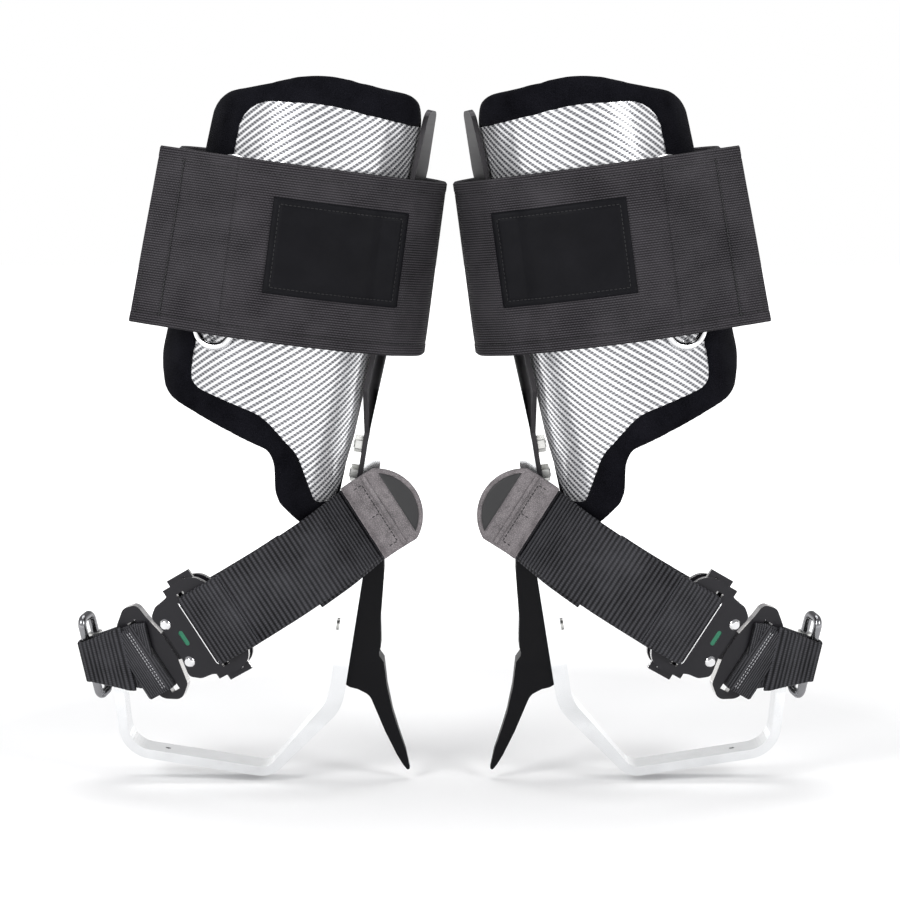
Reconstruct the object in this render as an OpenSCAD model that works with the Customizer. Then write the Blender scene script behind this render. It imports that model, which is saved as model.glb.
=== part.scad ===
// Pair of tree climbing spurs, laid out as a wearer would stand in them.
// Each spur: a bent aluminium shank and stirrup, a bolted gaff, an adjustable upper arm,
// a calf cuff with its pad and wide strap, and an ankle strap closed by a metal buckle.
// Spur frame: x towards the other leg, y to the back, z up the shank, foot plate at z = 0.

/* [Stance] */
// Distance from the midline to the corner that each stirrup stands on
stance_x = 119.5; // [112:0.5:150]
// Lean of each spur towards the midline, in degrees
lean = 9; // [6:0.5:12]

/* [Shank and stirrup] */
// Distance from the leg axis to the inner face of the shank
shank_x = 63.5; // [60:0.5:66]
// Thickness of the shank
shank_t = 10; // [8:0.5:12]
// Depth of the shank from front to back
shank_d = 30; // [26:1:34]
// Height of the shank above the foot plate
shank_h = 292; // [284:1:300]
// Thickness of the foot plate and outer upright
foot_t = 6; // [5:0.5:8]
// Depth of the foot plate from front to back
foot_d = 24; // [20:1:28]
// Height of the outer upright
upright_h = 76; // [72:1:84]

/* [Upper arm] */
// Thickness of the arm
arm_t = 3.2; // [2.6:0.1:4]
// Width of the arm
arm_w = 26; // [24:1:28]
// Travel of the arm along its slot
arm_travel = 38; // [19:1:38]
// Spacing of the two arm screws
screw_pitch = 19; // [16:1:21]
// Diameter of the arm screws
arm_screw_d = 6; // [5:0.5:7]

/* [Gaff] */
// Width of the gaff where it is bolted on
gaff_w = 22; // [18:1:26]
// Thickness of the gaff against the shank
gaff_t = 13; // [11:0.5:15]
// Diameter of the gaff screws
gaff_screw_d = 8; // [6:0.5:10]

/* [Cuff] */
// Outer radius of the cuff shell
shell_r = 64.7; // [62:0.1:66]
// Wall of the cuff shell
shell_t = 2.6; // [2:0.1:4]
// Thickness of the pad inside the shell
pad_t = 8.2; // [6:0.2:10]
// How far the pad stands proud round the shell
rim_t = 2.4; // [1:0.1:3]
// Lean of the cuff axis against the shank, in degrees
cuff_lean = 3.66; // [3:0.01:4]

/* [Calf strap] */
// Height of the calf strap
strap_h = 110; // [100:1:120]
// Thickness of the calf strap
strap_t = 2.6; // [2:0.1:3]
// Lean of the strap against the cuff, in degrees
strap_lean = -4.9; // [-5:0.1:-2]
// Height of the label patch
patch_h = 59; // [50:1:64]
// Thickness of the label patch
patch_t = 0.9; // [0.6:0.1:1.4]

/* [Ankle strap and buckle] */
// Width of the ankle webbing
web_w = 50; // [44:1:52]
// Thickness of the ankle webbing
web_t = 2.1; // [1.6:0.1:2.6]
// Thickness of each buckle plate
plate_t = 2.1; // [1.6:0.1:2.6]
// Gap between the two buckle plates
plate_gap = 4.8; // [4.4:0.1:5.4]
// Stand-off of the strap from the front of the shank
standoff = 10; // [8:0.5:11]
// Travel of the tongue when the buckle is pulled apart
tongue_travel = 14; // [10:1:14]
// Travel of each thumb latch
latch_travel = 3.4; // [3:0.1:3.6]

/* [Fits] */
// Radial clearance of a screw in its hole
screw_gap = 0.1; // [0.05:0.05:0.3]
// Air left between neighbouring pieces
gap = 0.3; // [0.2:0.05:0.5]
// Air left between parts clamped face to face
seat_gap = 0.02; // [0.01:0.01:0.1]

/* [Hidden] */
$fn = 64;
PARTS = ["shank_stirrup", "upper_arm", "arm_screws", "arm_nuts", "gaff", "gaff_screws",
  "cuff_shell", "cuff_pad", "cuff_screws", "arm_spacers", "ring_bracket", "bracket_rivets",
  "strap_ring", "calf_strap", "strap_flap", "strap_patch", "ankle_tab", "tab_rivet",
  "ankle_strap", "buckle_front_plate", "buckle_back_plate", "buckle_rivets",
  "buckle_indicator", "upper_latch", "lower_latch", "latch_springs", "buckle_tongue",
  "outer_strap", "stirrup_ring", "ring_clip"];

mid = shank_x + shank_t / 2;
face = shank_x + shank_t;
screw_z = [shank_h - 89, shank_h - 89 + screw_pitch];
gaff_z = [104, 132];
cuff_x = -6;
cuff_z = shank_h - 17;
shell_in = shell_r - shell_t;
pad_out = shell_in - gap;
pad_in = shell_in - pad_t;
arm_phi = 15;
arm_side = 6;
spacer_t = 1.6;
arm_in = shell_r + spacer_t + 2 * seat_gap;
arm_out = arm_in + arm_t;
web_origin = [shank_x + 15.2, 0, 185];
web_turn = 138.7;
buckle_at = [108, -61];
buckle_yaw = 22;
plate_in = plate_gap / 2;
plate_out = plate_in + plate_t;
web_n = plate_out + gap + web_t / 2;
slot_s = 66;
loop_turn = 22;
loop_len = 32 + tongue_travel;
loop_n = 3.4;
ring_d = 5.4;
ring_half = 26;
ring_depth = 14;
loop_w = 26;
bar_r = 2.4;
shave = 0.04;
// Distance from the buckle's middle to a thumb pad that is fully pressed and clear of the strap
pad_z = web_w / 2 + latch_travel + 2 * gap;

// ---------- helpers ----------

function unit(v) = v / norm(v);
function ease(t) = t * t * (3 - 2 * t);
// Points of the arc that rounds the corner b between a and c
function corner(a, b, c, r, n) =
  let (u = unit(a - b), v = unit(c - b), h = acos(u * v) / 2,
    m = b + unit(u + v) * r / sin(h), p = b + u * r / tan(h), q = b + v * r / tan(h),
    s = atan2(p[1] - m[1], p[0] - m[0]),
    d = (atan2(q[1] - m[1], q[0] - m[0]) - s + 540) % 360 - 180)
  [for (i = [0:n]) m + r * [cos(s + d * i / n), sin(s + d * i / n)]];
// A path [x, y, radius] with every inner corner rounded
function bent(p, n = 8) = concat([[p[0][0], p[0][1]]],
  [for (i = [1:len(p) - 2]) each corner([p[i - 1][0], p[i - 1][1]], [p[i][0], p[i][1]],
    [p[i + 1][0], p[i + 1][1]], p[i][2], n)],
  [[p[len(p) - 1][0], p[len(p) - 1][1]]]);
// The same for a closed outline
function closed(p, n = 6) = [for (i = [0:len(p) - 1])
  let (k = len(p), a = p[(i + k - 1) % k], b = p[i], c = p[(i + 1) % k])
  each corner([a[0], a[1]], [b[0], b[1]], [c[0], c[1]], b[2], n)];
function side(p, i, w) =
  let (a = p[max(i - 1, 0)], b = p[min(i + 1, len(p) - 1)], d = unit(b - a))
  p[i] + w * [-d[1], d[0]];
// Outline of a band whose half thickness at point i is w[i]
function band(p, w) = concat([for (i = [0:len(p) - 1]) side(p, i, w[i])],
  [for (i = [len(p) - 1:-1:0]) side(p, i, -w[i])]);
function even(p, w) = band(p, [for (i = p) w]);

module upright(d) rotate([90, 0, 0]) linear_extrude(d, center = true) children();
module across(d) rotate([90, 0, 90]) linear_extrude(d, center = true) children();
module flat(y0, y1) translate([0, y1, 0]) rotate([90, 0, 0]) linear_extrude(y1 - y0) children();
module x_bore(x0, x1, d) translate([x0, 0, 0]) rotate([0, 90, 0]) cylinder(x1 - x0, d = d);
module cuff_frame() translate([cuff_x, 0, cuff_z]) rotate([0, cuff_lean, 0]) children();
module arm_frame() cuff_frame() rotate([0, 0, -arm_phi]) translate([0, arm_side, 0]) children();
module web_frame() translate(web_origin) rotate([0, web_turn, 0]) children();
module buckle_frame() web_frame() translate([buckle_at[0], buckle_at[1], 0])
  rotate([0, 0, buckle_yaw]) children();
module loop_frame() buckle_frame() translate([slot_s, 0, -1]) rotate([0, loop_turn, 0]) children();

// ---------- shank, arm and gaff ----------

upright_top = [-79, upright_h];
upright_foot = [-60, foot_t / 2];
foot_line = bent([[upright_top[0], upright_top[1], 0],
  [upright_foot[0], upright_foot[1], 20], [34, foot_t / 2, 14],
  [mid, 54, 26], [mid, shank_h - 66, 400], [mid + 0.6, shank_h, 0]], 10);
function stirrup_t(p) = p[1] > shank_h - 66
  ? shank_t - (shank_t - 2.8) * (p[1] - shank_h + 66) / 66
  : p[0] < 20 ? foot_t : foot_t + (shank_t - foot_t) * ease(min(1, p[1] / 50));

module shank_stirrup() {
  color("gainsboro")
  difference() {
    intersection() {
      upright(shank_d) polygon(band(foot_line, [for (p = foot_line) stirrup_t(p) / 2]));
      union() {
        translate([-150, -foot_d / 2, -1]) cube([200, foot_d, 50]);
        translate([-150, -9, 48]) cube([100, 18, 40]);
        across(400) polygon(closed([[-foot_d / 2, -9, 2], [foot_d / 2, -9, 2],
          [foot_d / 2, 40, 40], [shank_d / 2, 80, 40], [shank_d / 2, shank_h + 1, 9],
          [-shank_d / 2, shank_h + 1, 9], [-shank_d / 2, 80, 40], [-foot_d / 2, 40, 40]]));
      }
    }
    for (z = screw_z) translate([0, 0, z]) x_bore(shank_x - 1, face + 1, arm_screw_d + 2 * screw_gap);
    for (z = screw_z) translate([0, 0, z]) x_bore(face - 3.4, face + 1, 11);
    for (z = gaff_z) translate([0, 0, z]) x_bore(shank_x - 1, face + 1, gaff_screw_d);
    translate([shank_x + 4, 0, 185]) rotate([90, 0, 0]) cylinder(16, d = 5);
    translate([-34, 0, -1]) cylinder(9, d = 3.4);
    clip_frame() x_bore(-8, 8, 4);
  }
}

module upper_arm() {
  color("dimgray")
  difference() {
    union() {
      translate([shank_x - arm_t - seat_gap, -arm_w / 2, shank_h - 137]) cube([arm_t, arm_w, 78]);
      hull() {
        translate([shank_x - arm_t - seat_gap, 0, shank_h - 61]) arm_slab();
        arm_frame() translate([arm_in, 0, -12.6]) arm_slab();
      }
      arm_frame() intersection() {
        translate([arm_in, 0, 0]) rotate([90, 0, 90]) linear_extrude(arm_t)
          polygon(closed([[-arm_w / 2, -12.8, 0.2], [arm_w / 2, -12.8, 0.2],
            [arm_w / 2, 132, 12], [4, 168, 5], [-arm_w / 2, 168, 8]]));
      }
    }
    translate([shank_x - arm_t - 2, 0, 0]) rotate([90, 0, 90]) linear_extrude(arm_t + 4)
      slot(screw_z[0] - arm_travel, screw_z[1], arm_screw_d + 2 * screw_gap);
    arm_frame() for (z = [44, 104]) translate([0, 0, z]) x_bore(arm_in - 1, arm_out + 1, 6.2);
  }
}

// A slice of the arm a hair smaller than the arm, for the bend between its two flat stretches
module arm_slab() translate([shave, shave - arm_w / 2, 0]) cube([arm_t - 2 * shave, arm_w - 2 * shave, 1.6]);

module slot(z0, z1, d) {
  translate([0, z0]) circle(d = d);
  translate([0, z1]) circle(d = d);
  translate([-d / 2, z0]) square([d, z1 - z0]);
}

module arm_screws() {
  color("darkgray")
  for (z = screw_z) translate([0, 0, z]) difference() {
    union() {
      x_bore(54.6, face - 1, arm_screw_d);
      x_bore(face - 3.4 + seat_gap, face - 0.2, 10.4);
    }
    translate([face - 2.4, 0, 0]) rotate([0, 90, 0]) cylinder(4, d = 5.2, $fn = 6);
  }
}

module arm_nuts() {
  color("darkgray")
  for (z = screw_z) translate([shank_x - arm_t - 2 * seat_gap - 5, 0, z])
    rotate([0, 90, 0]) difference() {
      cylinder(5, d = 11.4, $fn = 6);
      translate([0, 0, -1]) cylinder(7, d = arm_screw_d);
    }
}

gaff_x = face + seat_gap;
module gaff() {
  color("#26262a")
  difference() {
    intersection() {
      upright(40) polygon(concat(
        [[gaff_x, 156], [gaff_x, 67], [76.4, 65.8], [81.6, 65.3]],
        corner([81.6, 65.3], [89.6, 62.6], [103.2, 40], 9, 5),
        [[103.2, 40], [113.3, 25.3], [118, 19.6]],
        corner([117, 20.6], [124.6, 13.4], [118.3, 29.7], 1.2, 4),
        [[118.3, 29.7], [111.1, 43.4], [106, 53.9], [99.9, 69.9], [95.4, 86], [91.9, 89.6],
         [91.4, 91.8], [gaff_x + gaff_t + 5.4, 95.5], [gaff_x + gaff_t + 2.4, 113.4],
         [gaff_x + gaff_t, 144], [gaff_x + gaff_t - 2, 156]]));
      translate([100, 0, 0]) across(80) polygon(closed([[-gaff_w / 2, 157, 4],
        [-gaff_w / 2, 84, 12], [-7, 58, 30], [-1.6, 9, 1], [1.6, 9, 1], [7, 58, 30],
        [gaff_w / 2, 84, 12], [gaff_w / 2, 157, 4]]));
    }
    for (z = gaff_z) translate([0, 0, z]) {
      x_bore(face - 1, face + 30, gaff_screw_d + 2 * screw_gap);
      x_bore(gaff_x + gaff_t - 5, face + 30, 13.6);
    }
  }
}

module gaff_screws() {
  color("silver")
  for (z = gaff_z) translate([0, 0, z]) difference() {
    union() {
      x_bore(shank_x - 2, gaff_x + gaff_t - 4, gaff_screw_d);
      x_bore(gaff_x + gaff_t - 5 + seat_gap, gaff_x + gaff_t + 0.8, 13);
    }
    translate([gaff_x + gaff_t - 3, 0, 0]) rotate([0, 90, 0]) cylinder(6, d = 6.9, $fn = 6);
  }
}

// ---------- cuff ----------

// Side outlines of the shell and of its pad, measured from the height of the cuff's origin
shell_line = closed([[90, 1, 1], [60, -3, 4], [50.5, -75, 12], [47.5, -89, 5],
  [37, -89, 4], [22, -59, 26], [-4, -37, 30], [-53, -26, 13], [-49.5, 70, 300],
  [-43.5, 152, 22], [8, 157, 120], [60, 152, 60], [90, 151, 1]]);
pad_line = closed([[90, -13, 1], [58, -17, 8], [55, -99, 6], [36, -107, 8],
  [13, -89, 20], [8, -60, 16], [-66, -37, 18], [-74, -13, 14], [-70, 70, 300],
  [-64, 153, 26], [0, 175, 90], [62, 171, 12], [66, 151, 4], [90, 149, 1]]);

// The shell's lower tongue stops this far in front of the leg axis
shell_edge = 14;
rivet_at = [[-6.9, 13], [6.9, -13]];
module bracket_holes(h, d) bracket_frame() for (p = rivet_at) translate([p[0], 0, p[1]])
  rotate([90, 0, 0]) cylinder(h, d = d, center = true);

module tube(r0, r1) cuff_frame() translate([0, 0, -130]) difference() {
  cylinder(320, r = r1, $fn = 128);
  translate([0, 0, -1]) cylinder(322, r = r0, $fn = 128);
}

module cuff_shell() {
  color("whitesmoke")
  difference() {
    intersection() {
      tube(shell_in, shell_r);
      flat(-90, 2) translate([0, cuff_z]) polygon(shell_line);
    }
    arm_frame() for (z = [44, 104]) translate([0, 0, z]) x_bore(40, 80, 6.2);
    bracket_holes(20, 4);
    translate([20, -shell_edge, cuff_z - 175]) cube([60, 40, 166]);
  }
}

module cuff_pad() {
  color("#1c1c1e")
  difference() {
    union() {
      intersection() {
        tube(pad_in, pad_out);
        flat(-90, -gap) translate([0, cuff_z]) polygon(pad_line);
      }
      difference() {
        intersection() {
          tube(pad_in, shell_r + rim_t);
          flat(-90, -gap) translate([0, cuff_z]) polygon(pad_line);
        }
        flat(-95, 5) translate([0, cuff_z]) offset(delta = 0.5) polygon(shell_line);
        arm_frame() translate([arm_in - 1, -20, -60]) cube([20, 60, 260]);
        translate([48, -40, cuff_z - 155]) cube([30, 60, 160]);
      }
    }
    arm_frame() for (z = [44, 104]) translate([0, 0, z]) x_bore(shell_in - 3.4, 80, 14);
    bracket_holes(12, 9);
  }
}

module cuff_screws() {
  color("silver")
  arm_frame() for (z = [44, 104]) translate([0, 0, z]) difference() {
    union() {
      x_bore(shell_in - 3, arm_out + 0.5, 6);
      x_bore(shell_in - 3, shell_in - 1.4, 12);
      x_bore(arm_out + seat_gap, arm_out + 2.8, 11);
    }
    translate([arm_out + 1, 0, 0]) rotate([0, 90, 0]) cylinder(4, d = 4.6, $fn = 6);
  }
}

module arm_spacers() {
  color("#1c1c1e")
  arm_frame() for (z = [44, 104]) translate([0, 0, z]) difference() {
    x_bore(shell_r + seat_gap, shell_r + seat_gap + spacer_t, 18);
    x_bore(shell_r - 1, arm_in + 1, 6.2);
  }
}

// ---------- calf strap ----------

// Radius of the middle of the strap at each azimuth, from the ring round the back to the front
strap_knots = [[-388, 77.2], [-372, 70.9], [-360, 69.4], [-338, 70], [-318, 75.5],
  [-300, 84], [-280, 89], [-262, 89.5], [-180, 81], [-90, 78], [-62, 78], [-46, 76.9]];
function knot(a, i = 0) = a <= strap_knots[i + 1][0] || i >= len(strap_knots) - 2 ? i : knot(a, i + 1);
function strap_r(a) = let (i = knot(a), p = strap_knots[i], q = strap_knots[i + 1],
  t = ease((a - p[0]) / (q[0] - p[0]))) p[1] + (q[1] - p[1]) * t;
function polar(r, a) = [r * sin(a), -r * cos(a)];
strap_z = 8.5;
end_h = strap_h - 11;
end_z = strap_z + 1;
ring_slack = 1.2;
strap_line = [for (a = [-58:-6:-388]) polar(strap_r(a), a)];
patch_line = [for (a = [-298:-6:-376]) polar(strap_r(a), a)];
end_line = [polar(strap_r(-45), -45), for (a = [-48:-4:-60]) polar(strap_r(a), a)];
flap_root = polar(strap_r(-388), -28);
flap_end = [-89, -52];
flap_dir = unit(flap_end - flap_root);
flap_start = flap_root + 0.6 * flap_dir;
ring_bar = polar(75.5, -42);
ring_hub = polar(69.4, -24);

module strap_frame() cuff_frame() translate([0, 0, strap_z + strap_h / 2]) rotate([0, strap_lean, 0])
  translate([0, 0, -strap_z - strap_h / 2]) children();
module strap_level(z, h) strap_frame() translate([0, 0, z]) linear_extrude(h) children();

module calf_strap() {
  color("#3c3a3e")
  difference() {
    union() {
      strap_level(strap_z, strap_h) polygon(even(strap_line, strap_t / 2));
      strap_level(end_z, end_h) translate(ring_bar) circle(r = bar_r + ring_slack + 1.8);
      strap_level(end_z, end_h) polygon(even(end_line, strap_t / 2));
    }
    strap_frame() translate([ring_bar[0], ring_bar[1], -9]) cylinder(150, r = bar_r + ring_slack);
  }
}

module strap_flap() {
  color("#3c3a3e")
  strap_level(strap_z, strap_h) polygon(even([flap_start, flap_end], strap_t / 2));
}

module strap_patch() {
  color("#141416")
  strap_level(strap_z + 30, patch_h) polygon(even([for (i = [1:len(patch_line) - 2])
    side(patch_line, i, strap_t / 2 + 0.1 + patch_t / 2)], patch_t / 2));
}

module bracket_frame() cuff_frame() rotate([0, 0, -24])
  translate([0, -shell_r, strap_z + strap_h / 2]) children();

// A closed wire ring in the x-z plane, bars at x = 0 and x = w, h tall between its end bars
module wire_ring(w, h, r, bend) {
  for (x = [0, w]) translate([x, 0, bend - h / 2]) cylinder(h - 2 * bend, r = r);
  for (z = [-h / 2, h / 2]) translate([bend, 0, z]) rotate([0, 90, 0]) cylinder(w - 2 * bend, r = r);
  for (x = [0, 1], z = [0, 1]) translate([x * w, 0, (z - 0.5) * h]) mirror([x, 0, 0]) mirror([0, 0, z])
    translate([bend, 0, bend]) rotate([90, 0, 0]) rotate([0, 0, 180])
      rotate_extrude(angle = 90) translate([bend, 0]) circle(r = r);
}

// A long wire ring with half-round ends, its bars at x = 0 and x = w
module oval_ring(w, straight, r) {
  for (x = [0, w]) translate([x, 0, -straight / 2]) cylinder(straight, r = r);
  for (z = [0, 1]) mirror([0, 0, z]) translate([w / 2, 0, straight / 2]) rotate([90, 0, 0])
    rotate_extrude(angle = 180) translate([w / 2, 0]) circle(r = r);
}

module strap_ring() {
  color("silver")
  strap_frame() translate([ring_bar[0], ring_bar[1], end_z + end_h / 2])
    rotate([0, 0, atan2(ring_hub[1] - ring_bar[1], ring_hub[0] - ring_bar[0])])
      oval_ring(norm(ring_hub - ring_bar), end_h - 6, bar_r);
}

module ring_bracket() {
  color("silver")
  difference() {
    union() {
      strap_frame() translate([ring_hub[0], ring_hub[1], strap_z + strap_h / 2 - 9])
        cylinder(18, r = bar_r + 1.7);
      bracket_frame() translate([-10, -1.75, -18]) cube([20, 1.6, 36]);
    }
    strap_frame() translate([ring_hub[0], ring_hub[1], 0]) cylinder(200, r = bar_r + 0.05);
    tube(50, shell_r + seat_gap);
    bracket_holes(20, 4);
  }
}

module bracket_rivets() {
  color("silver")
  bracket_frame() for (p = rivet_at) translate([p[0], 0, p[1]]) rotate([90, 0, 0]) {
    translate([0, 0, -shell_t - 1.6]) cylinder(shell_t + 3.4, d = 3.9);
    translate([0, 0, -shell_t - 2.2]) cylinder(1.1, d = 7.6);
    translate([0, 0, 1.78]) cylinder(1.1, d = 6.6);
  }
}

// ---------- ankle strap ----------

function in_web(s, n) = buckle_at + [s * cos(buckle_yaw) - n * sin(buckle_yaw),
  s * sin(buckle_yaw) + n * cos(buckle_yaw)];
web_front = -shank_d / 2 - standoff;
web_mid = web_front - seat_gap - web_t / 2;
web_line = bent([[-9, web_mid, 0], [12, web_mid, 10], [38, -58.5, 45], [72, -68.5, 60],
  [in_web(-5, -web_n)[0], in_web(-5, -web_n)[1], 40],
  [in_web(22.6, -web_n)[0], in_web(22.6, -web_n)[1], 1.6],
  [in_web(22.6, web_n)[0], in_web(22.6, web_n)[1], 1.6],
  [in_web(-2, web_n)[0], in_web(-2, web_n)[1], 30], [76, -62.2, 50], [59, -58.6, 0]], 5);

module ankle_strap() {
  color("#222224")
  difference() {
    web_frame() linear_extrude(web_w, center = true) polygon(even(web_line, web_t / 2));
    web_frame() translate([-3, 0, 0]) rotate([90, 0, 0]) cylinder(40, d = 5.2);
  }
}

// The leather follows the webbing at a rivet head's distance
tab_t = 2.4;
tab_mid = web_mid - web_t / 2 - 1.9 - tab_t / 2;
module ankle_tab() {
  color("#4a4444")
  web_frame() intersection() {
    linear_extrude(web_w + 6, center = true)
      polygon(even(bent([[-30, tab_mid, 0], [10, tab_mid, 8], [14.4, tab_mid - 5.5, 0]]), tab_t / 2));
    flat(-60, 0) union() {
      intersection() {
        translate([4, 0]) circle(r = 30, $fn = 96);
        translate([-40, -26.5]) square([41, 53]);
      }
      translate([0, -26.5]) square([13.5, 53]);
    }
  }
}

module tab_rivet() {
  color("silver")
  web_frame() translate([-3, 0, 0]) rotate([90, 0, 0]) {
    translate([0, 0, -web_front - standoff - 8]) cylinder(8 + standoff + web_t + gap, d = 4.9);
    translate([0, 0, -web_front - standoff + seat_gap]) cylinder(standoff - seat_gap, d = 12);
    translate([0, 0, -web_front + web_t + 2 * seat_gap]) cylinder(1.5, d = 11);
  }
}

buckle_half = [[2.5, 0, 1], [2.5, 23, 6], [7, 31, 12], [17, 34, 20], [28, 32.5, 14],
  [34, 28, 12], [44, 27, 8], [51, 22, 4], [48, 9, 10]];
buckle_line = closed(concat([for (i = [1:len(buckle_half) - 1]) buckle_half[i]],
  [for (i = [len(buckle_half) - 1:-1:1]) [buckle_half[i][0], -buckle_half[i][1], buckle_half[i][2]]]));

module buckle_blank(y0, y1) buckle_frame() flat(y0, y1) difference() {
  polygon(buckle_line);
  translate([20.4, -27]) square([5.4, 54]);
  for (s = [-1, 1]) translate([45, 14 * s]) circle(d = 4.2);
}

module buckle_front_plate() {
  color("#2c2b30")
  difference() {
    buckle_blank(-plate_out, -plate_in);
    buckle_frame() translate([38.6, -plate_in + 1, -4.4]) rotate([90, 0, 0]) linear_extrude(plate_t + 2)
      slot(0, 7.4, 3.2);
  }
}

module buckle_back_plate() {
  color("#2c2b30")
  buckle_blank(plate_in, plate_out);
}

module buckle_rivets() {
  color("silver")
  buckle_frame() for (s = [-1, 1]) translate([45, 0, 14 * s]) rotate([90, 0, 0]) {
    translate([0, 0, -plate_out - 1]) cylinder(2 * plate_out + 2, d = 4.1);
    translate([0, 0, -plate_in + seat_gap]) cylinder(plate_gap - 2 * seat_gap, d = 5.4);
    translate([0, 0, plate_out + seat_gap]) cylinder(1.3, d1 = 7.6, d2 = 5);
    translate([0, 0, -plate_out - 1.3 - seat_gap]) cylinder(1.3, d1 = 5, d2 = 7.6);
  }
}

module buckle_indicator() {
  color("seagreen")
  buckle_frame() translate([38.6, -plate_in, -4.4]) rotate([90, 0, 0])
    linear_extrude(plate_t - 0.4) slot(0, 7.4, 3);
}

latch_y = [-plate_in + 0.1, -0.5];
spring_s = 16;
spring_d = 1.6;
module latch(s) buckle_frame() scale([1, 1, s]) flat(latch_y[0], latch_y[1]) difference() {
  union() {
    translate([10, pad_z]) square([18, 8]);
    translate([28.4, 4]) square([6, pad_z]);
    translate([24, pad_z]) square([10.4, 4]);
  }
  translate([spring_s - spring_d / 2 - gap, pad_z - 1]) square([spring_d + 2 * gap, 2.4 + latch_travel]);
}

module upper_latch() {
  color("silver")
  latch(-1);
}

module lower_latch() {
  color("silver")
  latch(1);
}

module latch_springs() {
  color("silver")
  buckle_frame() for (s = [-1, 1]) scale([1, 1, s])
    translate([spring_s, (latch_y[0] + latch_y[1]) / 2, pad_z - 9]) difference() {
      cylinder(10.4, d = spring_d);
      translate([0, 0, -1]) cylinder(13, d = 0.8);
    }
}

tongue_y = [-0.2, 2.1];
module buckle_tongue() {
  color("#26252a")
  buckle_frame() union() {
    flat(tongue_y[0], tongue_y[1]) difference() {
      polygon(closed([[27.4, -9, 3], [27.4, 9, 3], [31, 10.5, 3], [54, 10.5, 3],
        [54, -10.5, 3], [31, -10.5, 3]]));
      translate([31, -7.6]) square([4.2, 15.2]);
    }
    flat(-plate_in, tongue_y[1]) difference() {
      polygon(closed([[52, -9, 2], [55, -24, 3], [56, -34, 5], [66, -36, 7], [79, -27, 8],
        [79, 26, 8], [66, 33, 7], [56, 26, 5], [52, 9, 2]]));
      translate([63, -26]) square([6.4, 52]);
    }
  }
}

loop_mid = loop_n + web_t / 2;
loop_end = loop_len + loop_mid;
loop_line = concat([[-14, -loop_mid]],
  [for (a = [-90:12:90]) [loop_len + loop_mid * cos(a), loop_mid * sin(a)]], [[-14, loop_mid]]);
loop_shape = closed([[-14, -23, 2], [-14, 23.5, 3], [10, 23, 8], [loop_len, loop_w / 2, 20],
  [loop_end + 4, loop_w / 2, 0.5], [loop_end + 4, -loop_w / 2, 0.5],
  [loop_len, -loop_w / 2, 20], [12, -22.5, 8]]);

module outer_strap() {
  color("#242426")
  intersection() {
    union() {
      loop_frame() intersection() {
        linear_extrude(80, center = true) polygon(even(loop_line, web_t / 2));
        flat(-20, 20) polygon(loop_shape);
      }
      buckle_frame() translate([slot_s - 1, -loop_mid, -20]) cube([web_t + 0.6, 2 * loop_mid, 40]);
    }
    buckle_frame() translate([slot_s - 0.4, -20, -60]) cube([90, 40, 120]);
  }
}

module stirrup_ring() {
  color("darkgray")
  loop_frame() translate([loop_len, 0, 0]) rotate([0, 0, 90])
    wire_ring(ring_depth, 2 * ring_half, ring_d / 2, 4.5);
}

upright_run = upright_top - upright_foot;
clip_at = upright_foot + 0.76 * upright_run;
module clip_frame() translate([clip_at[0], 0, clip_at[1]])
  rotate([0, atan(upright_run[0] / upright_run[1]), 0]) children();

module ring_clip() {
  color("silver")
  difference() {
    union() {
      clip_frame() translate([-foot_t / 2 - seat_gap - 1.8, -8, -9]) cube([1.8, 16, 22]);
      clip_frame() translate([-foot_t / 2 - 9, -4.6, -8]) cube([9 - seat_gap, 4, 18]);
      loop_frame() translate([loop_len, ring_depth, -13]) cylinder(18, d = ring_d + 3.6);
    }
    loop_frame() translate([loop_len, ring_depth, -40]) cylinder(80, d = ring_d + 0.1);
    clip_frame() x_bore(-20, 20, 4);
    clip_frame() translate([-foot_t / 2 - seat_gap, -20, -20]) cube([20, 40, 50]);
  }
}

// ---------- layout ----------

module spur(part) {
  if (part == "shank_stirrup") shank_stirrup();
  if (part == "upper_arm") upper_arm();
  if (part == "arm_screws") arm_screws();
  if (part == "arm_nuts") arm_nuts();
  if (part == "gaff") gaff();
  if (part == "gaff_screws") gaff_screws();
  if (part == "cuff_shell") cuff_shell();
  if (part == "cuff_pad") cuff_pad();
  if (part == "cuff_screws") cuff_screws();
  if (part == "arm_spacers") arm_spacers();
  if (part == "ring_bracket") ring_bracket();
  if (part == "bracket_rivets") bracket_rivets();
  if (part == "strap_ring") strap_ring();
  if (part == "calf_strap") calf_strap();
  if (part == "strap_flap") strap_flap();
  if (part == "strap_patch") strap_patch();
  if (part == "ankle_tab") ankle_tab();
  if (part == "tab_rivet") tab_rivet();
  if (part == "ankle_strap") ankle_strap();
  if (part == "buckle_front_plate") buckle_front_plate();
  if (part == "buckle_back_plate") buckle_back_plate();
  if (part == "buckle_rivets") buckle_rivets();
  if (part == "buckle_indicator") buckle_indicator();
  if (part == "upper_latch") upper_latch();
  if (part == "lower_latch") lower_latch();
  if (part == "latch_springs") latch_springs();
  if (part == "buckle_tongue") buckle_tongue();
  if (part == "outer_strap") outer_strap();
  if (part == "stirrup_ring") stirrup_ring();
  if (part == "ring_clip") ring_clip();
}

// Leaned over until the stirrup's inner corner and the gaff's point share the ground
module stand() translate([-stance_x, 0, 0]) rotate([0, lean, 0]) translate([-31, 0, 0]) children();

for (p = PARTS) {
  stand() spur(p);
  mirror([1, 0, 0]) stand() spur(p);
}
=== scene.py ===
import bpy
import math
import numpy as np
from mathutils import Matrix, Vector


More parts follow.
